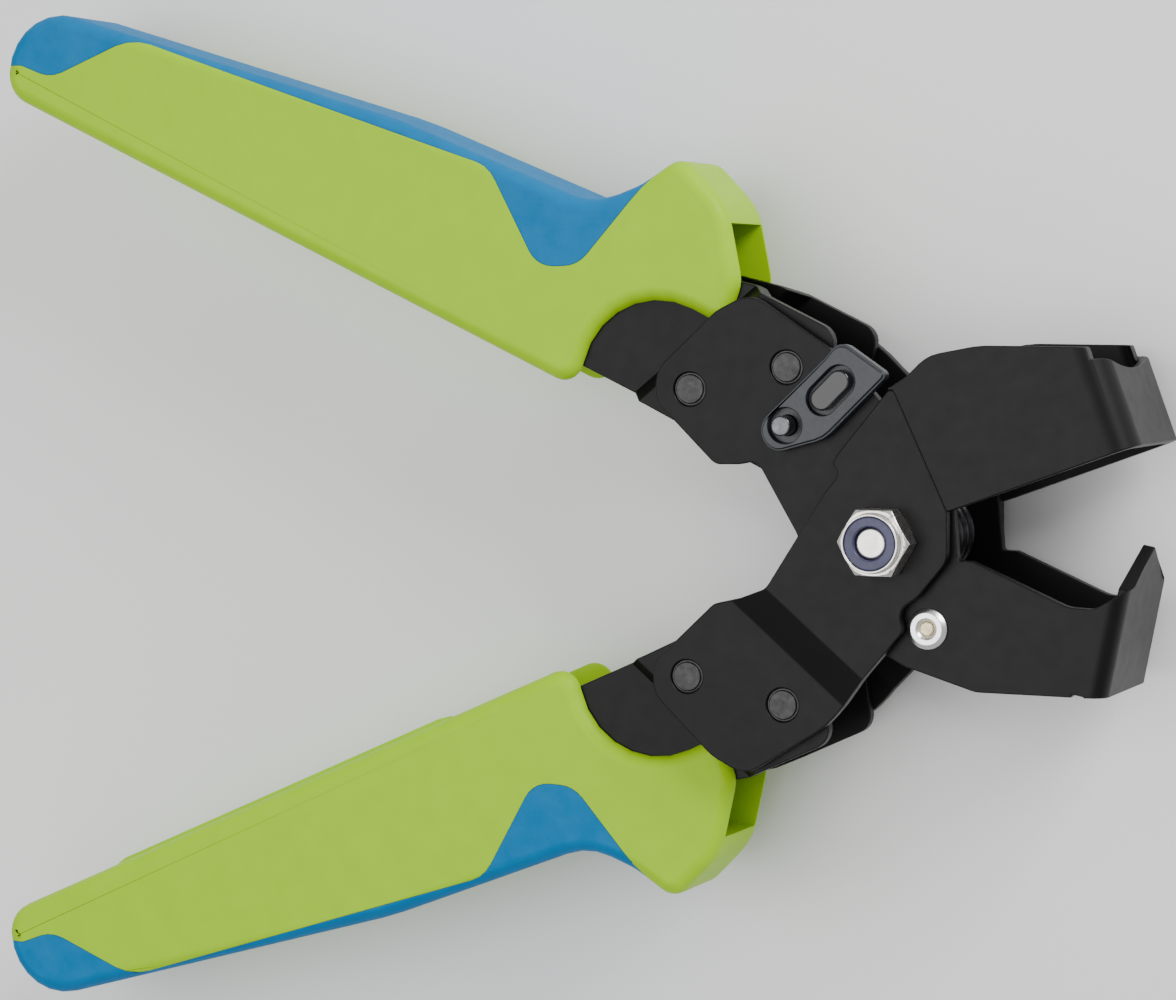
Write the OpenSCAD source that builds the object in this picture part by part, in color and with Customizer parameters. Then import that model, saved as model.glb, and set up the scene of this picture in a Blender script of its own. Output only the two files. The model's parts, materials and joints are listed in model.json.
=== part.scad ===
// Hand notching and nibbling pliers, handles open.
// Two folded-sheet arms cross on one bolt: the die arm carries the upper jaw and the lower handle,
// the punch arm carries the lower jaw and the upper handle and runs between the die arm's plates.
// +X points to the jaws, +Y to the upper handle and +Z along the pivot bolt, from its head to its nut.
// The origin is on the pivot axis, at the flat face of the bolt head, on which the tool lies.

/* [Pivot] */
// Diameter of the pivot bolt
bolt_d = 8; // [6:0.5:9]
// Radial clearance between the bolt and the holes it passes through
bolt_fit = 0.05; // [0.03:0.01:0.1]
// Width of the bolt head and of the nut across their flats
hex_af = 13; // [12:0.5:16]
// Height of the bolt head
head_h = 5.3; // [4:0.1:8]
// Height of the nut's hexagon, without its collar
nut_h = 6; // [5:0.1:8]
// Height of the collar that holds the nut's locking ring
collar_h = 2; // [1.5:0.1:3]
// Outer diameter of the nut's locking ring
ring_d = 10.6; // [10:0.1:11.6]
// Outer diameter of the pivot bush
bush_d = 12; // [11:0.1:14.4]
// Radial running clearance of the punch arm on the bush
bush_fit = 0.05; // [0.03:0.01:0.1]

/* [Arms] */
// Thickness of the folded sheet and of the tangs
sheet_t = 2.5; // [2:0.1:3]
// Width of the punch arm over its two plates
punch_w = 34; // [28:0.5:42]
// Gap between the punch's sides and the die's inner sides
shear_gap = 0.3; // [0.3:0.05:0.6]
// Gap between the punch arm and the die arm beside the pivot, filled by a thrust washer
side_gap = 0.6; // [0.5:0.05:1.5]
// Clearance on each side of a thrust washer
washer_play = 0.05; // [0.03:0.01:0.1]
// Angle that the handles close through
close_a = 41.5; // [36:0.5:41.5]
// Distance from the pivot to the first bend of the die arm's joggle
joggle_start = 23.4; // [22:0.1:25]
// Run of the die arm's joggle
joggle_run = 7.6; // [6:0.1:9]

/* [Jaws] */
// Angle of the die's cutting edge above +X
die_edge_a = 20.5; // [18:0.5:24]
// Distance from the pivot to the outside of the die's end wall
die_reach = 54; // [52:0.5:64]
// Height of the die's end wall
die_wall_h = 18.6; // [14:0.2:19.4]
// Outer bend radius of the die
die_bend_r = 6; // [4:0.5:8]
// Depth of the dip in the die's end wall
die_dip = 3; // [1:0.2:5]
// Angle of the punch's end wall below +X
punch_wall_a = -10.5; // [-12:0.5:-9]
// Distance from the pivot to the outside of the punch's end wall
punch_reach = 49; // [44:0.5:50]
// Outer bend radius of the punch
punch_bend_r = 3.5; // [3:0.5:5]
// Height of the piercing point above the punch's shoulders
point_h = 7.6; // [4:0.2:9]

/* [Handles] */
// Thickness of a handle
handle_t = 23; // [21:0.5:30]
// Thickness of the shell's side walls
shell_wall = 2.8; // [2:0.1:3.2]
// Radius of the rounding along a handle's edges
handle_round = 3; // [2:0.2:3.2]
// Thickness of the soft overlay
overlay_t = 1.6; // [1:0.1:2]
// How far a tang reaches into its handle, along X from the pivot
tang_reach = 150; // [110:1:152]
// Play between a tang and the handle's slot
tang_play = 0.2; // [0.1:0.05:0.4]
// Height of the long rib on a handle's inner edge
rib_h = 1.8; // [1:0.1:2.4]

/* [Fasteners] */
// Diameter of the tang rivets
rivet_d = 6.8; // [5:0.1:8]
// Diameter of a tang rivet's face, inside its dark ring
rivet_face_d = 5.8; // [4:0.1:7]
// Radial clearance of a rivet in its hole
rivet_fit = 0.03; // [0.02:0.01:0.1]
// Diameter of the blind rivet's body
stop_d = 4.8; // [4:0.1:5.4]
// Diameter of the blind rivet's flange
stop_flange_d = 8.2; // [7:0.1:9]
// Diameter of the blind rivet's mandrel
mandrel_d = 2.8; // [2:0.1:3]

/* [Latch] */
// Thickness of the latch
latch_t = 3; // [2.4:0.1:3.4]
// Gap between the latch and the plate under it
latch_gap = 0.3; // [0.3:0.05:0.6]
// Diameter of the latch pin
latch_pin_d = 4; // [3:0.1:5]
// Radial running clearance of the latch on its pin
latch_fit = 0.05; // [0.03:0.01:0.1]
// How far the latch pin stands above the latch
latch_pin_rise = 2.6; // [1:0.1:4]

/* [Spring] */
// Diameter of the return spring's wire
wire_d = 2.2; // [1.6:0.1:2.6]
// Gap between the spring's coil and the bush
coil_gap = 1.2; // [0.8:0.1:2]
// Number of whole turns in the coil
coil_turns = 6; // [4:1:7]

/* [Hidden] */
$fn = 64;
tiny = 0.01;
over = 1;
far_out = 300;

punch_half = punch_w / 2;
die_in = punch_half + shear_gap;
neck_in = punch_half + side_gap;
neck_out = neck_in + sheet_t;
pad_out = punch_half;
pad_in = pad_out - sheet_t;
tang_in = pad_in - sheet_t;
handle_half = handle_t / 2;
grip_out = handle_half - shell_wall - tang_play;
mid_z = head_h + neck_out;
crease_a = 130;
rivets = [[-42, 29.1], [-21.4, 33.8]];
tang_bend_run = 3.2;
tang_bend_gap = 0.11;
tang_bend_a = atan((pad_in - grip_out) / tang_bend_run);
rivet_reach = rivets[0] * [cos(crease_a), sin(crease_a)];
stop_at = [8.7, -17.1];
latch_at = [-20.4, 22.3];
ring_t = 2.6;
ring_in = 3.3;
ring_sunk = 0.2;
ring_low = nut_h + collar_h - ring_t - ring_sunk;
bolt_tip_play = 0.05;
bolt_tip_low = 0.8;
bolt_tip_chamfer = 0.45;
collar_wall = 0.55;
washer_w = 4;
bolt_point_r = ring_in - bolt_fit;
coil_r = bush_d / 2 + coil_gap + wire_d / 2;
stop_tail = 6.5;
stop_bulge_w = 0.6;
stop_bulge_h = 2.5;
stop_flange_h = 1.2;
stop_flange_rim = 0.5;
stop_flange_slope = 0.9;
stop_mouth_w = 0.75;
stop_mouth_h = 0.7;
stop_base = 1;
mandrel_rise = 0.9;
formed_head_h = 1.5;
formed_head_w = 0.7;
// The bend starts clear of the formed head of the rivet beside it
tang_bend_at = rivet_reach + rivet_d / 2 + formed_head_w + sheet_t * tan(tang_bend_a / 2) + tang_bend_gap;
rivet_ring_depth = 0.5;
edge_offset = 1.1;

black_steel = [0.11, 0.10, 0.11];
lime = [0.65, 0.79, 0.04];
blue = [0.12, 0.50, 0.70];
zinc = [0.80, 0.80, 0.78];

// ---- plane geometry -------------------------------------------------------

function unit(v) = v / norm(v);
function xy(p) = [p.x, p.y];
function polar(r, a) = r * [cos(a), sin(a)];
function turn(p, a) = [p.x * cos(a) - p.y * sin(a), p.x * sin(a) + p.y * cos(a)];
function wrap(a) = a > 180 ? a - 360 : a <= -180 ? a + 360 : a;

// The arc that rounds corner q, between its neighbours p and s, in steps of at most step_a degrees
function corner(p, q, s, r, step_a) =
    r <= 0 ? [q] :
    let (a = unit(p - q), b = unit(s - q), half = acos(a * b) / 2)
    let (c = q + unit(a + b) * r / sin(half))
    let (start = q + a * r / tan(half) - c, end = q + b * r / tan(half) - c)
    let (a1 = atan2(start.y, start.x), span = wrap(atan2(end.y, end.x) - a1))
    let (n = max(1, ceil(abs(span) / step_a)))
    [for (i = [0:n]) c + polar(r, a1 + span * i / n)];

// A closed outline from corners [x, y, radius]
function rounded(c, step_a = 15) =
    let (m = len(c))
    [for (i = [0:m - 1]) each corner(xy(c[(i + m - 1) % m]), xy(c[i]), xy(c[(i + 1) % m]), c[i][2], step_a)];

// An open line from corners [x, y, radius]; its two ends stay sharp
function rounded_line(c, step_a = 11.25) =
    let (m = len(c))
    concat([xy(c[0])],
        [for (i = [1:m - 2]) each corner(xy(c[i - 1]), xy(c[i]), xy(c[i + 1]), c[i][2], step_a)],
        [xy(c[m - 1])]);

function left_normal(p, q) = let (d = unit(q - p)) [-d.y, d.x];

// Point i of an open line moved sideways by d, with mitred corners
function shifted(l, i, d) =
    let (m = len(l))
    let (n1 = left_normal(l[max(i - 1, 0)], l[max(i, 1)]))
    let (n2 = left_normal(l[min(i, m - 2)], l[min(i + 1, m - 1)]))
    l[i] + d * (n1 + n2) / (1 + n1 * n2);

// A strip of constant thickness beside an open line
function strip(l, t) = concat(l, [for (i = [len(l) - 1:-1:0]) shifted(l, i, t)]);

// A closed outline moved inwards by d; the outline runs clockwise
function inset(o, d) =
    let (m = len(o))
    [for (i = [0:m - 1])
        let (n1 = -left_normal(o[(i + m - 1) % m], o[i]), n2 = -left_normal(o[i], o[(i + 1) % m]))
        o[i] + d * (n1 + n2) / (1 + n1 * n2)];

// Twice the area of a triangle, below zero where it runs clockwise
function turns(a, b, c) = (b.x - a.x) * (c.y - a.y) - (b.y - a.y) * (c.x - a.x);

// Whether corner i of a clockwise outline can be cut off by a straight line inside it
function is_ear(p, ids, i) =
    let (n = len(ids), ia = ids[(i + n - 1) % n], ib = ids[i], ic = ids[(i + 1) % n])
    let (a = p[ia], b = p[ib], c = p[ic])
    turns(a, b, c) < 0 &&
    len([for (k = ids)
        if (k != ia && k != ib && k != ic &&
            turns(a, b, p[k]) <= 0 && turns(b, c, p[k]) <= 0 && turns(c, a, p[k]) <= 0) k]) == 0;

function first_ear(p, ids, i = 0) =
    i >= len(ids) ? 0 : is_ear(p, ids, i) ? i : first_ear(p, ids, i + 1);

// A clockwise outline cut into triangles
function cap(p, ids) =
    len(ids) == 3 ? [ids] :
    let (n = len(ids), i = first_ear(p, ids))
    concat([[ids[(i + n - 1) % n], ids[i], ids[(i + 1) % n]]],
        cap(p, [for (k = [0:n - 1]) if (k != i) ids[k]]));

// ---- shared shapes --------------------------------------------------------

// A prism of an outline between two heights from the middle plane
module slab(outline, low, high) {
    translate([0, 0, mid_z + low])
        linear_extrude(high - low)
            polygon(outline);
}

// A profile in the plane of Z and the direction a, run sideways through the whole part
module run_across(a, profile) {
    translate([0, 0, mid_z])
        rotate([0, 0, a])
            rotate([90, 0, 0])
                linear_extrude(far_out, center = true)
                    polygon(profile);
}

// Upright cylinder between two heights from the middle plane
module post(at, d, low, high) {
    translate([at.x, at.y, mid_z + low])
        cylinder(d = d, h = high - low);
}

// Its children, and the same mirrored to the other side of the middle plane
module both_sides() {
    children();
    translate([0, 0, 2 * mid_z])
        mirror([0, 0, 1])
            children();
}

module far_side() {
    translate([0, 0, 2 * mid_z])
        mirror([0, 0, 1])
            children();
}

module lower() {
    mirror([0, 1, 0])
        children();
}

// ---- outlines -------------------------------------------------------------

// Corner where the two arms' pads meet when the handles are shut
stop_clear_a = 0.35;
stop_corner_a = 180 - close_a / 2 - stop_clear_a;
stop_corner = polar(39, stop_corner_a);

// The pad that takes the two tang rivets, upper arm, from the inner neck to the outer neck
pad_corners = [
    [stop_corner.x, stop_corner.y, 3],
    [-49.6, 26.8, 4.5],
    [-49.2, 33, 5.5],
    [-36.6, 44.9, 9],
    [-29.3, 48.6, 6],
    [-12, 37.6, 18]
];

punch_neck = [
    [-18.4, 0, 6],
    [-27.4, 15, 2.4],
    [-31, 14.2, 3]
];

punch_jaw_edge_a = -23;
punch_edge_offset = 3.6;
punch_heel = turn([17.5, punch_edge_offset], punch_jaw_edge_a);
punch_edge_end = turn([38.5, punch_edge_offset], punch_jaw_edge_a);
punch_wall_rise = 0.9;
punch_shoulder = turn([punch_reach, punch_wall_rise], punch_wall_a);
punch_foot = turn([punch_reach, -20.6], punch_wall_a);

punch_lobe = [
    [13.4, 9.5, 5],
    [14.6, punch_heel.y, 0.8],
    [punch_heel.x, punch_heel.y, 0.8],
    [punch_edge_end.x, punch_edge_end.y, 6],
    [punch_edge_end.x + 5, punch_edge_end.y - 0.2, 3],
    [punch_shoulder.x, punch_shoulder.y, 0],
    [punch_foot.x, punch_foot.y, 0],
    [18.5, punch_foot.y, 6],
    [4, -24.8, 4],
    [-8, -18.6, 8],
    [-17.5, -7, 8]
];

punch_outline = rounded(concat(punch_neck, pad_corners, [[-2.5, 28.4, 12]], punch_lobe));

// Die arm, from the notch of its upper left edge clockwise round the jaw
die_foot = turn([die_reach, edge_offset], die_edge_a);
die_heel = turn([17.3, edge_offset], die_edge_a);
die_wall_top = turn([die_reach, edge_offset + die_wall_h], die_edge_a);
jaw_top = 38.65;
crease_top = [1.6, 30.6];
crease_foot = [13.2, 6.2];
// The jaw's sheet runs on a little inside the neck plates, so that the fold is one piece
crease_lap_w = 1.2;
crease_lap = -crease_lap_w * left_normal(crease_foot, crease_top);

die_jaw_outline = rounded([
    [crease_top.x - crease_lap.x, crease_top.y - crease_lap.y, 0],
    [crease_top.x, crease_top.y, 0],
    [4.4, 32.4, 4],
    [8.6, 36.6, 8],
    [19, jaw_top, 12],
    [die_wall_top.x - 1, jaw_top, 1],
    [die_wall_top.x + 1, die_wall_top.y - 1, 0],
    [die_foot.x, die_foot.y, 0],
    [die_heel.x, die_heel.y, 4],
    [crease_foot.x, crease_foot.y, 0],
    [crease_foot.x - crease_lap.x, crease_foot.y - crease_lap.y, 0]
]);

function flip(c) = [for (p = c) [p.x, -p.y, p[2]]];
function backwards(c) = [for (i = [len(c) - 1:-1:0]) c[i]];

stop_scallop_r = stop_flange_d / 2 + 0.4;
die_neck_outline = rounded(concat(
    [[crease_top.x, crease_top.y, 1],
     [crease_foot.x, crease_foot.y, 2],
     [13.4, -3.5, 5],
     [7.6, -10.6, 6],
     [stop_at.x - stop_scallop_r - 0.8, stop_at.y + 3.5, 3],
     [stop_at.x - stop_scallop_r + 0.4, stop_at.y - 0.5, 2]],
    backwards(flip(pad_corners)),
    [[-30.4, -12.6, 4],
     [-24.2, -10.3, 3],
     [-12, 9.2, 0],
     [-9.5, 12.2, 0.8],
     [-9.3, 13.8, 0.8],
     [-10.6, 15, 1],
     [-9.2, 17.2, 2]]));

tang_corners = [
    [-25.5, 12.4, 3],
    [-52.5, 25.6, 20],
    [-tang_reach, 70.6, 4],
    [-tang_reach, 82, 4],
    [-62, 57.2, 20],
    [-31, 50, 4],
    [-12, 41, 4],
    [-15, 20, 3]
];

handle_outline = rounded([
    [-207.6, 91.3, 7],
    [-206.4, 112.6, 13],
    [-112, 84.8, 60],
    [-66.5, 66.6, 14],
    [-56, 70.6, 8],
    [-47, 76.4, 4],
    [-37, 66, 14],
    [-33.8, 50.5, 8],
    [-37.2, 41.4, 3.3],
    [-63.5, 54.6, 17],
    [-70, 28.4, 4.4]
]);

slot_outline = rounded([
    [-20, 62.6, 0],
    [-20, 20, 0],
    [-80.5, 20, 0],
    [-83, 37, 1.5],
    [-tang_reach - 2, 68.5, 2],
    [-tang_reach - 2, 84.5, 2],
    [-58, 60, 6],
    [-46, 62.6, 3]
]);

// The soft overlay's S-shaped edge, then far outside the handle
overlay_region = rounded([
    [-220, 97.5, 0],
    [-203, 97.5, 3],
    [-195.5, 94.6, 8],
    [-175, 102.8, 12],
    [-89.5, 74.4, 8],
    [-78.4, 53.7, 6],
    [-69.2, 53.9, 7],
    [-51.5, 74.2, 0],
    [-51.5, 130, 0],
    [-220, 130, 0]
]);

// ---- sheet metal ----------------------------------------------------------

// U-shaped fold: two side plates and an end wall, reach along direction a, outside half width w
module folded(a, reach, w, r) {
    outer = rounded_line([[-far_out / 2, -w, 0], [reach, -w, r], [reach, w, r], [-far_out / 2, w, 0]]);
    run_across(a, strip(outer, sheet_t));
}

// One plate of the die arm: beside the pivot it is wide, then it steps in to the pad
module die_plate() {
    outer = [[-100, neck_out], [joggle_start, neck_out],
             [joggle_start + joggle_run, pad_out], [100, pad_out]];
    intersection() {
        slab(die_neck_outline, 0, neck_out + over);
        run_across(-crease_a, strip(outer, -sheet_t));
    }
}

module tang_plate() {
    outer = [[-40, pad_in], [tang_bend_at, pad_in],
             [tang_bend_at + tang_bend_run, grip_out], [200, grip_out]];
    intersection() {
        slab(rounded(tang_corners), 0, pad_in + over);
        run_across(crease_a, strip(outer, -sheet_t));
    }
}

module rivet_holes() {
    for (at = rivets)
        post(at, rivet_d + 2 * rivet_fit, -punch_w, punch_w);
}

module die_frame() {
    dip_r = 60;
    color(black_steel)
        difference() {
            union() {
                intersection() {
                    slab(die_jaw_outline, -die_in - sheet_t - over, die_in + sheet_t + over);
                    folded(die_edge_a, die_reach, die_in + sheet_t, die_bend_r);
                }
                both_sides() die_plate();
            }
            // the end wall's top edge dips between the bends
            translate([0, 0, mid_z])
                rotate([0, 0, die_edge_a])
                    translate([die_reach - die_bend_r / 2, edge_offset + die_wall_h - die_dip + dip_r, 0])
                        rotate([0, 90, 0])
                            cylinder(r = dip_r, h = die_bend_r, $fn = 180);
            post([0, 0], bolt_d + 2 * bolt_fit, -2 * neck_out, 2 * neck_out);
            lower() rivet_holes();
        }
}

module punch_frame() {
    half_flat = punch_half - punch_bend_r;
    point_root = 2;
    point_shoulder = 0.3;
    nick = [2.4, 1.6];
    nick_back = [5.5, 0.4];
    color(black_steel)
        difference() {
            union() {
                intersection() {
                    slab(punch_outline, -punch_half - over, punch_half + over);
                    folded(punch_wall_a, punch_reach, punch_half, punch_bend_r);
                }
                // the piercing point stands on the middle of the end wall
                translate([0, 0, mid_z])
                    rotate([0, 0, punch_wall_a])
                        translate([punch_reach, punch_wall_rise, 0])
                            rotate([0, -90, 0])
                                linear_extrude(sheet_t)
                                    polygon([[-half_flat, -point_root], [half_flat, -point_root],
                                             [half_flat, -point_shoulder], [0, point_h],
                                             [-half_flat, -point_shoulder]]);
            }
            // relief nicks at the foot of both bends
            both_sides()
                translate([punch_foot.x - nick_back.x, punch_foot.y - nick_back.y, mid_z + punch_half])
                    rotate([0, 0, punch_wall_a])
                        cube([nick.x, nick.y, 2 * sheet_t + over], center = true);
            post([0, 0], bush_d + 2 * bush_fit, -punch_w, punch_w);
            rivet_holes();
            post(stop_at, stop_d + 2 * rivet_fit, 0, punch_w);
            post(latch_at, latch_pin_d + 2 * rivet_fit, 0, punch_w);
        }
}

module tang() {
    color(black_steel)
        difference() {
            tang_plate();
            rivet_holes();
        }
}

module upper_tang_near() tang();
module upper_tang_far() far_side() tang();
module lower_tang_near() lower() tang();
module lower_tang_far() lower() far_side() tang();

// ---- handles --------------------------------------------------------------

// The handle's outside: one half is lofted through insets of its outline, so that its edges are round
module handle_body() {
    steps = 4;
    flat_half = handle_half - handle_round;
    arc = [for (i = [steps:-1:0])
        let (a = 90 * i / steps) [-flat_half - handle_round * sin(a), handle_round * (1 - cos(a))]];
    rings = concat(arc, [[0, 0]]);
    m = len(handle_outline);
    points = [for (ring = rings) each [for (p = inset(handle_outline, ring[1])) [p.x, p.y, mid_z + ring[0]]]];
    sides = [for (k = [0:len(rings) - 2], i = [0:m - 1])
        each [[k * m + i, k * m + (i + 1) % m, (k + 1) * m + (i + 1) % m],
              [k * m + i, (k + 1) * m + (i + 1) % m, (k + 1) * m + i]]];
    ids = [for (i = [0:m - 1]) i];
    bottom = [for (t = cap(inset(handle_outline, handle_round), ids)) [t[2], t[1], t[0]]];
    top_from = (len(rings) - 1) * m;
    top = [for (t = cap(handle_outline, ids)) [t[0] + top_from, t[1] + top_from, t[2] + top_from]];
    both_sides() polyhedron(points, concat(bottom, sides, top));
}

// The hard core that the soft overlay wraps
module overlay_core() {
    slab(inset(handle_outline, overlay_t), -handle_half + overlay_t, handle_half - overlay_t);
}

// What the soft overlay fills: the skin outside its S-shaped edge
module overlay_recess() {
    difference() {
        slab(overlay_region, -handle_half - over, handle_half + over);
        overlay_core();
    }
}

module inner_rib() {
    rib_from = [-106, 44.91];
    rib_to = [-191, 83.9];
    along = unit(rib_to - rib_from);
    out = [-along.y, along.x];
    sunk = handle_round;
    low = -9;
    high = -4.5;
    lip = 0.2;
    slope = [1.5, 6];
    slab([rib_from - out * sunk, rib_from + out * (rib_h - lip), rib_from + out * rib_h + along * slope[0],
          rib_to + out * rib_h - along * slope[1], rib_to + out * lip, rib_to - out * sunk], low, high);
}

// Room for the tang's ramp where it enters the mouth of the slot
module ramp_relief() {
    past = 0.35;
    fall = (pad_in - grip_out) / tang_bend_run;
    run_across(crease_a, [
        [0, 0],
        [0, pad_in + past],
        [tang_bend_at + past, pad_in + past],
        [tang_bend_at + tang_bend_run + 2 * past, grip_out + past - past * fall],
        [tang_bend_at + tang_bend_run, 0]]);
}

module handle_shell() {
    color(lime)
        difference() {
            union() {
                handle_body();
                inner_rib();
            }
            overlay_recess();
            slab(slot_outline, -handle_half + shell_wall, handle_half - shell_wall);
            both_sides() ramp_relief();
        }
}

module grip_overlay() {
    color(blue)
        difference() {
            intersection() {
                handle_body();
                slab(overlay_region, -handle_half - over, handle_half + over);
            }
            overlay_core();
        }
}

module upper_handle_shell() handle_shell();
module lower_handle_shell() lower() handle_shell();
module upper_grip_overlay() grip_overlay();
module lower_grip_overlay() lower() grip_overlay();

// ---- fasteners ------------------------------------------------------------

// Rivet through a pad and a tang, its face flush inside a sunk ring, a formed head inside
module tang_rivet(at) {
    post(at, rivet_d + 2 * formed_head_w, tang_in - formed_head_h, tang_in);
    post(at, rivet_d, tang_in - tiny, pad_out - rivet_ring_depth);
    post(at, rivet_face_d, pad_out - rivet_ring_depth - tiny, pad_out);
}

module tang_rivets() {
    color([0.16, 0.16, 0.17])
        for (at = rivets)
            both_sides() tang_rivet(at);
}

module upper_rivets() tang_rivets();
module lower_rivets() lower() tang_rivets();

module hex_prism(h) {
    cylinder(d = hex_af / cos(30), h = h, $fn = 6);
}

// Cone-cut corners for a hexagon that stands on z = 0
module hex_rounding(h, both_ends) {
    corner_r = hex_af / cos(30) / 2;
    cut = (corner_r - hex_af / 2) * tan(30) * 1.15;
    edge_r = hex_af / 2 * 0.98;
    rotate_extrude()
        polygon(both_ends
            ? [[0, 0], [edge_r, 0], [corner_r, cut], [corner_r, h - cut], [edge_r, h], [0, h]]
            : [[0, 0], [edge_r, 0], [corner_r, cut], [corner_r, h], [0, h]]);
}

module pivot_bolt() {
    end_z = mid_z + neck_out + ring_low - bolt_tip_play;
    tip_h = ring_t - bolt_tip_low;
    color(zinc)
        union() {
            intersection() {
                hex_prism(head_h);
                hex_rounding(head_h, false);
            }
            translate([0, 0, head_h - tiny])
                cylinder(d = bolt_d, h = end_z - head_h + tiny);
            translate([0, 0, end_z - tiny])
                cylinder(r = bolt_point_r, h = tip_h - bolt_tip_chamfer + tiny);
            translate([0, 0, end_z + tip_h - bolt_tip_chamfer])
                cylinder(r1 = bolt_point_r, r2 = bolt_point_r - bolt_tip_chamfer, h = bolt_tip_chamfer);
        }
}

module lock_nut() {
    collar_r = ring_d / 2 + collar_wall;
    total = nut_h + collar_h;
    color(zinc)
        translate([0, 0, mid_z + neck_out])
            difference() {
                union() {
                    intersection() {
                        hex_prism(nut_h);
                        hex_rounding(nut_h, true);
                    }
                    translate([0, 0, nut_h - tiny])
                        cylinder(r = collar_r, h = collar_h + tiny);
                }
                translate([0, 0, -over])
                    cylinder(d = bolt_d + 2 * bolt_fit, h = total);
                translate([0, 0, ring_low])
                    cylinder(d = ring_d, h = total);
            }
}

module nut_ring() {
    color([0.20, 0.20, 0.34])
        translate([0, 0, mid_z + neck_out + ring_low])
            difference() {
                cylinder(d = ring_d - 2 * tiny, h = ring_t);
                translate([0, 0, -over])
                    cylinder(r = ring_in, h = ring_t + 2 * over);
            }
}

module pivot_bush() {
    color([0.45, 0.44, 0.42])
        difference() {
            post([0, 0], bush_d, -neck_in, neck_in);
            post([0, 0], bolt_d + 2 * bolt_fit, -punch_w, punch_w);
        }
}

module thrust_washers() {
    color([0.62, 0.55, 0.38])
        both_sides()
            difference() {
                post([0, 0], bush_d + 2 * washer_w, punch_half + washer_play, neck_in - washer_play);
                post([0, 0], bush_d + 2 * bush_fit, 0, punch_w);
            }
}

// ---- stop rivet -----------------------------------------------------------

module stop_rivet() {
    lip_r = stop_flange_d / 2 - stop_flange_slope;
    color([0.86, 0.87, 0.88])
        difference() {
            union() {
                translate([stop_at.x, stop_at.y, mid_z + pad_out])
                    rotate_extrude()
                        polygon([[0, 0], [stop_flange_d / 2, 0], [stop_flange_d / 2, stop_flange_rim],
                                 [lip_r, stop_flange_h], [0, stop_flange_h]]);
                post(stop_at, stop_d, pad_in - stop_tail, pad_out + tiny);
                post(stop_at, stop_d + 2 * stop_bulge_w, pad_in - stop_bulge_h, pad_in - tiny);
            }
            post(stop_at, mandrel_d + 2 * tiny, pad_in - stop_tail + stop_base, pad_out + 2 * stop_flange_h);
            translate([stop_at.x, stop_at.y, mid_z + pad_out + stop_flange_h - stop_mouth_h])
                cylinder(r1 = mandrel_d / 2 + tiny, r2 = mandrel_d / 2 + stop_mouth_w,
                    h = stop_mouth_h + tiny);
        }
}

module stop_rivet_mandrel() {
    color([0.74, 0.66, 0.42])
        post(stop_at, mandrel_d, pad_in - stop_tail + stop_base, pad_out + mandrel_rise);
}

// ---- latch ----------------------------------------------------------------

latch_low = pad_out + latch_gap;
latch_top = latch_low + latch_t;
latch_edge = 0.5;
latch_floor = 1.2;
latch_sink_w = 1.6;
latch_slot_d = 6.6;
latch_stud_d = 4.6;
latch_stud_rise = 0.5;
latch_slot = [[-12.7, 27.7], [-9.2, 31.2]];
latch_outline = rounded([
    [-27, 21.8, 4.2],
    [-12.2, 36, 2],
    [-9.4, 39.6, 3],
    [0.9, 32.7, 1.2],
    [-12.2, 19.7, 7],
    [-23.2, 16.6, 3.6]
]);

// Upright slot with round ends
module latch_slot_shape(d, low, high) {
    a = latch_slot[0];
    b = latch_slot[1];
    mid = (a + b) / 2;
    for (at = latch_slot)
        post(at, d, low, high);
    translate([mid.x, mid.y, mid_z + (low + high) / 2])
        rotate([0, 0, atan2(b.y - a.y, b.x - a.x)])
            cube([norm(b - a), d, high - low], center = true);
}

module latch_lever() {
    color([0.13, 0.16, 0.20])
        difference() {
            union() {
                slab(latch_outline, latch_low, latch_top - latch_edge);
                slab(inset(latch_outline, latch_edge), latch_top - latch_edge - tiny, latch_top);
            }
            post(latch_at, latch_pin_d + 2 * latch_fit, 0, 2 * latch_top);
            post(latch_at, latch_pin_d + 2 * latch_sink_w, latch_low + latch_floor, 2 * latch_top);
            latch_slot_shape(latch_slot_d, latch_low + latch_floor, latch_top + over);
        }
}

module latch_stud() {
    color([0.03, 0.03, 0.04])
        latch_slot_shape(latch_stud_d, latch_low + latch_floor, latch_top + latch_stud_rise);
}

module latch_pin() {
    color([0.55, 0.55, 0.56])
        post(latch_at, latch_pin_d, pad_in, latch_top + latch_pin_rise);
}

// ---- return spring --------------------------------------------------------

coil_side_gap = 0.4;
coil_low = -pad_in + wire_d / 2 + coil_side_gap;
coil_high = 10.4;
leg_low_a = 208.5;
leg_high_a = 310.2;
leg_low_len = 22.2;
leg_high_len = 21;
leg_low_end = polar(coil_r, leg_low_a + 90) + polar(leg_low_len, leg_low_a);
leg_high_end = polar(coil_r, leg_high_a - 90) + polar(leg_high_len, leg_high_a);
coil_span = 360 * coil_turns + (leg_high_a - leg_low_a) - 180;
coil_step = 18;
coil_rings = round(coil_span / coil_step);
coil_sides = 8;

function on_coil(i) =
    let (s = i / coil_rings, p = polar(coil_r, leg_low_a + 90 + coil_span * s))
    [p.x, p.y, coil_low + (coil_high - coil_low) * s];

coil_path = [for (i = [0:coil_rings]) on_coil(i)];

function sweep_points(path, r) =
    let (m = len(path))
    [for (i = [0:m - 1])
        let (t = unit(path[min(i + 1, m - 1)] - path[max(i - 1, 0)]))
        let (u = unit(cross(t, [0.001, 0, 1])), v = cross(u, t))
        each [for (k = [0:coil_sides - 1])
            let (a = 360 * k / coil_sides)
            path[i] + r * (cos(a) * u + sin(a) * v)]];

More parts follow.
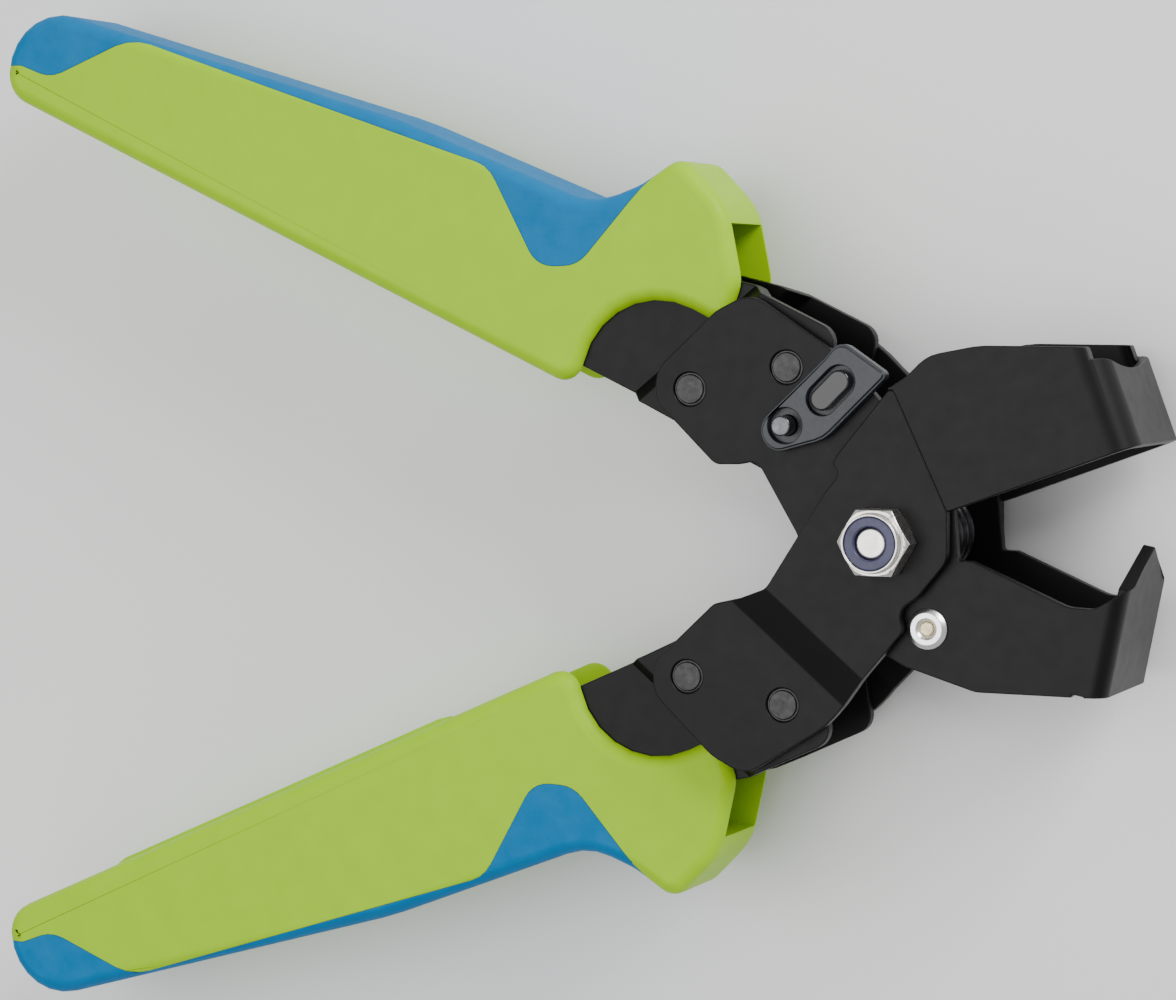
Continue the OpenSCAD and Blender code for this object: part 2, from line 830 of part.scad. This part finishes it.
module swept_wire(path, r) {
    m = len(path);
    sides = [for (i = [0:m - 2], k = [0:coil_sides - 1])
        let (a = i * coil_sides + k, b = i * coil_sides + (k + 1) % coil_sides)
        each [[a, b, b + coil_sides], [a, b + coil_sides, a + coil_sides]]];
    first = [for (k = [coil_sides - 1:-1:0]) k];
    last = [for (k = [0:coil_sides - 1]) (m - 1) * coil_sides + k];
    polyhedron(sweep_points(path, r), concat([first], sides, [last]));
}

module return_spring() {
    path = concat(
        [[leg_low_end.x, leg_low_end.y, coil_low]],
        coil_path,
        [[leg_high_end.x, leg_high_end.y, coil_high]]);
    color([0.40, 0.40, 0.42])
        translate([0, 0, mid_z])
            swept_wire(path, wire_d / 2);
}

die_frame();
lower_tang_near();
lower_tang_far();
lower_handle_shell();
lower_grip_overlay();
lower_rivets();
pivot_bolt();
lock_nut();
nut_ring();
pivot_bush();
thrust_washers();
return_spring();
punch_frame();
upper_tang_near();
upper_tang_far();
upper_handle_shell();
upper_grip_overlay();
upper_rivets();
stop_rivet();
stop_rivet_mandrel();
latch_pin();
latch_lever();
latch_stud();
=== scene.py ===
import json
import math

import bmesh
import bpy
from mathutils import Matrix, Vector


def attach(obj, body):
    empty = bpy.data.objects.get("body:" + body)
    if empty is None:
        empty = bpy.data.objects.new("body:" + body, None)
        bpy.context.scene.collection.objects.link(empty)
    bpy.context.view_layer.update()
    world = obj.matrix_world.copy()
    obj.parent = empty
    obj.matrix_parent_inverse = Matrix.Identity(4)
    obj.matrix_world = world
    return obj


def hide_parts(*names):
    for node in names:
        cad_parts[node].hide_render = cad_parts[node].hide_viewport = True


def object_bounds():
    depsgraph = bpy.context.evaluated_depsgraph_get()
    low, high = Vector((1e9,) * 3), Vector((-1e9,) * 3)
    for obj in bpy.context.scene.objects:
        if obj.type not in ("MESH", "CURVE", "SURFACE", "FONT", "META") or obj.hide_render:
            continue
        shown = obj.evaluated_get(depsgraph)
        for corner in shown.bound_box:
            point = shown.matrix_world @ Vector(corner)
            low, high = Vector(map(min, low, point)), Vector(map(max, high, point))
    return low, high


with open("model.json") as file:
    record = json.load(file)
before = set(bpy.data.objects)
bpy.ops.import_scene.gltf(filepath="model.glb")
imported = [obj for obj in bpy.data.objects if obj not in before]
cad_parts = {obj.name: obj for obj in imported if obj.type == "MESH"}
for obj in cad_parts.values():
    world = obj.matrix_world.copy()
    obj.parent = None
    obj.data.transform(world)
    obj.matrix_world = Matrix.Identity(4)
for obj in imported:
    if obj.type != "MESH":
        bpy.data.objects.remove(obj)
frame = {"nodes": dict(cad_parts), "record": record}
cad_low, cad_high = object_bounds()

MM = 0.001
RECORD = frame["record"]
BODY = {n: b for b, nodes in RECORD["behaviour"]["bodies"].items() for n in nodes}
SLOT = {p["node"]: p["material_slot"] for p in RECORD["subparts"]}

# ---- materials --------------------------------------------------------------


class Paint:
    """A node material that is built up from noise, in object coordinates."""

    def __init__(self, name, roughness, metallic=0.0, specular=0.5):
        self.material = bpy.data.materials.new(name)
        self.material.use_nodes = True
        self.nodes = self.material.node_tree.nodes
        self.links = self.material.node_tree.links
        self.shader = self.nodes["Principled BSDF"]
        self.shader.inputs["Metallic"].default_value = metallic
        self.shader.inputs["Roughness"].default_value = roughness
        self.shader.inputs["Specular IOR Level"].default_value = specular
        self.place = self.nodes.new("ShaderNodeTexCoord").outputs["Object"]

    def noise(self, size_mm, detail=3.0, stretch=(1, 1, 1)):
        """Noise whose features are about size_mm across."""
        mapping = self.nodes.new("ShaderNodeMapping")
        mapping.inputs["Scale"].default_value = stretch
        self.links.new(self.place, mapping.inputs["Vector"])
        made = self.nodes.new("ShaderNodeTexNoise")
        made.inputs["Scale"].default_value = 1 / (size_mm * MM)
        made.inputs["Detail"].default_value = detail
        self.links.new(mapping.outputs["Vector"], made.inputs["Vector"])
        return made.outputs["Fac"]

    def cells(self, size_mm):
        """Cells like those of fine leather."""
        made = self.nodes.new("ShaderNodeTexVoronoi")
        made.inputs["Scale"].default_value = 1 / (size_mm * MM)
        self.links.new(self.place, made.inputs["Vector"])
        return made.outputs["Distance"]

    def colour(self, value, dark, light, low=0.3, high=0.7):
        ramp = self.nodes.new("ShaderNodeValToRGB")
        ramp.color_ramp.elements[0].position = low
        ramp.color_ramp.elements[0].color = (*dark, 1)
        ramp.color_ramp.elements[1].position = high
        ramp.color_ramp.elements[1].color = (*light, 1)
        self.links.new(value, ramp.inputs["Fac"])
        self.links.new(ramp.outputs["Color"], self.shader.inputs["Base Color"])

    def rough(self, value, low, high):
        spread = self.nodes.new("ShaderNodeMapRange")
        spread.inputs["To Min"].default_value = low
        spread.inputs["To Max"].default_value = high
        self.links.new(value, spread.inputs["Value"])
        self.links.new(spread.outputs["Result"], self.shader.inputs["Roughness"])

    def relief(self, value, depth_mm, strength=1.0):
        bump = self.nodes.new("ShaderNodeBump")
        bump.inputs["Distance"].default_value = depth_mm * MM
        bump.inputs["Strength"].default_value = strength
        self.links.new(value, bump.inputs["Height"])
        self.links.new(bump.outputs["Normal"], self.shader.inputs["Normal"])


def black_steel():
    p = Paint("black_steel", 0.4, 0.0, 0.2)
    p.colour(p.noise(9, 5), (0.0015, 0.0013, 0.0016), (0.0032, 0.0028, 0.0031))
    p.rough(p.noise(3, 6), 0.36, 0.48)
    p.relief(p.noise(0.35, 3), 0.015, 0.35)
    return p.material


def rivet_steel():
    p = Paint("rivet_steel", 0.4, 0.6)
    p.colour(p.noise(1.2, 4), (0.020, 0.020, 0.022), (0.045, 0.044, 0.044))
    p.rough(p.noise(0.8, 4), 0.28, 0.45)
    p.relief(p.noise(0.3, 3), 0.02, 0.4)
    return p.material


def zinc():
    p = Paint("zinc", 0.25, 1.0)
    p.colour(p.noise(3, 4), (0.60, 0.58, 0.53), (0.82, 0.81, 0.79))
    p.rough(p.noise(0.7, 5), 0.20, 0.38)
    p.relief(p.noise(0.4, 4), 0.015, 0.4)
    return p.material


def metal(name, dark, light, low, high, stretch=(1, 1, 1)):
    p = Paint(name, (low + high) / 2, 1.0)
    p.colour(p.noise(1.5, 4, stretch), dark, light)
    p.rough(p.noise(0.5, 4, stretch), low, high)
    return p.material


def plastic(name, dark, light, low, high, grain_mm, depth_mm, strength, specular=0.5):
    p = Paint(name, (low + high) / 2, specular=specular)
    p.colour(p.noise(6, 4), dark, light)
    p.rough(p.noise(1.0, 3), low, high)
    p.relief(p.noise(grain_mm, 3), depth_mm, strength)
    return p.material


def blue_overlay():
    p = Paint("blue_overlay", 0.6, specular=0.12)
    p.colour(p.noise(5, 4), (0.003, 0.150, 0.36), (0.005, 0.170, 0.40))
    p.rough(p.noise(1.0, 3), 0.50, 0.68)
    p.relief(p.cells(0.75), 0.05, 0.4)
    return p.material


MATERIALS = {
    "black_steel": black_steel(),
    "rivet_steel": rivet_steel(),
    "zinc": zinc(),
    "navy_nylon": plastic("navy_nylon", (0.03, 0.03, 0.075), (0.055, 0.055, 0.12), 0.35, 0.5, 0.3, 0.01, 0.3),
    "bush_steel": metal("bush_steel", (0.34, 0.33, 0.31), (0.5, 0.49, 0.46), 0.25, 0.4),
    "washer_bronze": metal("washer_bronze", (0.42, 0.32, 0.17), (0.60, 0.48, 0.28), 0.3, 0.45),
    "spring_steel": metal("spring_steel", (0.030, 0.030, 0.033), (0.065, 0.065, 0.070), 0.30, 0.45),
    "aluminium": metal("aluminium", (0.74, 0.75, 0.76), (0.90, 0.90, 0.91), 0.22, 0.36),
    "mandrel_steel": metal("mandrel_steel", (0.52, 0.44, 0.26), (0.76, 0.68, 0.46), 0.3, 0.45),
    "pin_steel": metal("pin_steel", (0.07, 0.07, 0.075), (0.14, 0.14, 0.15), 0.22, 0.4),
    "latch_plastic": plastic("latch_plastic", (0.007, 0.009, 0.013), (0.013, 0.017, 0.023),
                             0.30, 0.42, 0.4, 0.015, 0.4),
    "gloss_black": plastic("gloss_black", (0.004, 0.004, 0.006), (0.009, 0.009, 0.012),
                           0.08, 0.16, 2.0, 0.005, 0.2),
    "lime_shell": plastic("lime_shell", (0.325, 0.600, 0.0005), (0.345, 0.630, 0.0008),
                          0.40, 0.48, 0.45, 0.03, 0.5, 0.15),
    "blue_overlay": blue_overlay(),
}

# ---- pieces -----------------------------------------------------------------

# Points closer than this are one point, so that no tiny edge spoils the rounding beside it
MERGE = 1e-4
# Faces that turn by less than this are one flat face
FLAT = math.radians(0.5)
# Width of the rounding along the sharp edges of each CAD piece, in mm, and its segments
ROUNDING = {
    "die_frame": (0.28, 3), "punch_frame": (0.28, 3),
    "lower_tang_near": (0.25, 3), "lower_tang_far": (0.25, 3),
    "upper_tang_near": (0.25, 3), "upper_tang_far": (0.25, 3),
    "lower_handle_shell": (0.2, 2), "upper_handle_shell": (0.2, 2),
    "lower_grip_overlay": (0.22, 2), "upper_grip_overlay": (0.22, 2),
    "lower_rivets": (0.18, 3), "upper_rivets": (0.18, 3),
    "pivot_bolt": (0.25, 3), "lock_nut": (0.22, 3), "nut_ring": (0.35, 3),
    "pivot_bush": (0.2, 2), "thrust_washers": (0.1, 2),
    "stop_rivet": (0.12, 3), "stop_rivet_mandrel": (0.3, 3),
    "latch_pin": (0.35, 4), "latch_lever": (0.2, 3), "latch_stud": (0.45, 4),
}
# Edges that turn by more than this are rounded; bends of the folded sheet are shallower than other edges
SHARP = math.radians(32)
SHEET_SHARP = math.radians(18)
SHEET = ("die_frame", "punch_frame", "lower_tang_near", "lower_tang_far", "upper_tang_near", "upper_tang_far")


def sharp_angle(node):
    return SHEET_SHARP if node in SHEET else SHARP


def place(mesh, name, node):
    """A finished mesh as a piece that stands for a CAD node."""
    obj = bpy.data.objects.new(name, mesh)
    bpy.context.scene.collection.objects.link(obj)
    mesh.materials.clear()
    mesh.materials.append(MATERIALS[SLOT[node]])
    mesh.set_sharp_from_angle(angle=sharp_angle(node))
    normals = obj.modifiers.new("normals", "WEIGHTED_NORMAL")
    normals.keep_sharp = True
    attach(obj, BODY[node])
    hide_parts(node)
    return obj


def finished(node, width_mm, segments):
    """A copy of a CAD piece with its sharp edges rounded."""
    bm = bmesh.new()
    bm.from_mesh(frame["nodes"][node].data)
    bmesh.ops.remove_doubles(bm, verts=bm.verts, dist=MERGE)
    bmesh.ops.dissolve_limit(bm, angle_limit=FLAT, verts=bm.verts, edges=bm.edges)
    sharp = [e for e in bm.edges if len(e.link_faces) == 2 and e.calc_face_angle(0) > sharp_angle(node)]
    bmesh.ops.bevel(bm, geom=sharp, offset=width_mm * MM, offset_type="OFFSET", segments=segments,
                    profile=0.5, affect="EDGES", clamp_overlap=False, material=-1)
    for f in bm.faces:
        f.smooth = True
    mesh = bpy.data.meshes.new(node + "_look")
    bm.to_mesh(mesh)
    bm.free()
    return place(mesh, node + "_look", node)


# ---- return spring ----------------------------------------------------------

# The CAD spring's own sizes, in mm and degrees
WIRE_R, COIL_R, MID_Z = 1.1, 8.3, 25.4
COIL_LOW, COIL_HIGH = -13.0, 10.4
LEG_LOW, LEG_HIGH = 208.5, 310.2
LEG_LOW_LEN, LEG_HIGH_LEN = 22.2, 21.0
TURNS = 6
WIRE_SIDES = 16
# Turn of each step along the coil, in degrees
COIL_STEP = 10


def polar(r, angle):
    a = math.radians(angle)
    return Vector((r * math.cos(a), r * math.sin(a), 0))


def spring():
    """Round wire spun into the coil, then drawn out along both legs."""
    start = LEG_LOW + 90
    span = 360 * TURNS + (LEG_HIGH - LEG_LOW) - 180
    steps = round(span / COIL_STEP)
    bm = bmesh.new()
    circle = bmesh.ops.create_circle(bm, segments=WIRE_SIDES, radius=WIRE_R * MM, cap_ends=False)
    ring = circle["verts"]
    # upright circle across the wire, at the coil's start
    bmesh.ops.transform(bm, verts=ring, matrix=(
        Matrix.Translation((polar(COIL_R, start) + Vector((0, 0, MID_Z + COIL_LOW))) * MM)
        @ Matrix.Rotation(math.radians(start), 4, "Z") @ Matrix.Rotation(math.radians(90), 4, "X")))
    first = list({e for v in ring for e in v.link_edges})
    rise = (COIL_HIGH - COIL_LOW) * MM / steps
    spun = bmesh.ops.spin(bm, geom=first, cent=(0, 0, 0), axis=(0, 0, 1), dvec=(0, 0, rise),
                          angle=math.radians(span), steps=steps)
    last = [g for g in spun["geom_last"] if isinstance(g, bmesh.types.BMEdge)]
    for edges, angle, length in ((first, LEG_LOW, LEG_LOW_LEN), (last, LEG_HIGH, LEG_HIGH_LEN)):
        drawn = bmesh.ops.extrude_edge_only(bm, edges=edges)["geom"]
        ends = [g for g in drawn if isinstance(g, bmesh.types.BMVert)]
        bmesh.ops.translate(bm, verts=ends, vec=polar(length, angle) * MM)
        drawn_edges = [g for g in drawn if isinstance(g, bmesh.types.BMEdge)]
        rim = [e for e in drawn_edges if all(v in ends for v in e.verts)]
        bmesh.ops.contextual_create(bm, geom=rim)
    bmesh.ops.recalc_face_normals(bm, faces=bm.faces)
    for f in bm.faces:
        f.smooth = True
    mesh = bpy.data.meshes.new("return_spring_look")
    bm.to_mesh(mesh)
    bm.free()
    return place(mesh, "return_spring_look", "return_spring")


# ---- stage ------------------------------------------------------------------

# Half the width of the floor, in m
FLOOR_HALF = 3
# The camera's turn, tilt and roll in degrees, and its place from the pivot's middle point in mm
YAW, PITCH, ROLL = 23.07, 3.39, 0.44
DISTANCE, ALONG_RIGHT, ALONG_UP = 682.65, -65.51, 7.10
LENS, SENSOR = 103.6, 36
# Point that the lamps face, in m
LIT = Vector((-0.06, 0, 0.02))
WORLD_STRENGTH = 0.55


def floor():
    bm = bmesh.new()
    bmesh.ops.create_grid(bm, x_segments=1, y_segments=1, size=FLOOR_HALF)
    bmesh.ops.translate(bm, verts=bm.verts, vec=(0, 0, cad_low.z))
    mesh = bpy.data.meshes.new("floor")
    bm.to_mesh(mesh)
    bm.free()
    obj = bpy.data.objects.new("floor", mesh)
    bpy.context.scene.collection.objects.link(obj)
    p = Paint("pale_floor", 0.8, specular=0.2)
    p.colour(p.noise(120, 2), (0.88, 0.88, 0.88), (0.92, 0.92, 0.92))
    mesh.materials.append(p.material)


def main_axes():
    """Camera axes: right, up and back, in the row frame."""
    yaw, pitch, roll = (math.radians(v) for v in (YAW, PITCH, ROLL))
    back = Vector((math.sin(yaw) * math.cos(pitch), math.sin(pitch), math.cos(yaw) * math.cos(pitch)))
    level = Vector((math.cos(yaw), 0, -math.sin(yaw)))
    lift = back.cross(level)
    right = level * math.cos(roll) + lift * math.sin(roll)
    return right, back.cross(right), back


def camera():
    right, up, back = main_axes()
    centre = back * DISTANCE + right * ALONG_RIGHT + up * ALONG_UP + Vector((0, 0, MID_Z))
    data = bpy.data.cameras.new("camera")
    data.sensor_width, data.sensor_fit, data.lens = SENSOR, "HORIZONTAL", LENS
    obj = bpy.data.objects.new("camera", data)
    bpy.context.scene.collection.objects.link(obj)
    turned = Matrix((right, up, back)).transposed().to_4x4()
    obj.matrix_world = Matrix.Translation(centre * MM) @ turned
    bpy.context.scene.camera = obj


def area(name, direction, distance, size, power):
    data = bpy.data.lights.new(name, "AREA")
    data.shape, data.size, data.energy = "DISK", size, power
    obj = bpy.data.objects.new(name, data)
    bpy.context.scene.collection.objects.link(obj)
    obj.location = LIT + direction.normalized() * distance
    obj.rotation_mode = "QUATERNION"
    obj.rotation_quaternion = direction.to_track_quat("Z", "Y")


def lights():
    right, up, back = main_axes()
    area("key", back * 0.75 + up * 0.7 + right * 0.55, 1.3, 0.7, 15)
    area("fill", back * 0.9 - right * 0.9, 1.5, 1.2, 7)
    area("top", Vector((0, 0, 1)), 1.6, 1.4, 8)
    world = bpy.data.worlds.new("studio")
    bpy.context.scene.world = world
    world.use_nodes = True
    world.node_tree.nodes["Background"].inputs["Color"].default_value = (1, 1, 1, 1)
    world.node_tree.nodes["Background"].inputs["Strength"].default_value = WORLD_STRENGTH


for node, (width_mm, segments) in ROUNDING.items():
    finished(node, width_mm, segments)
spring()
floor()
lights()
camera()
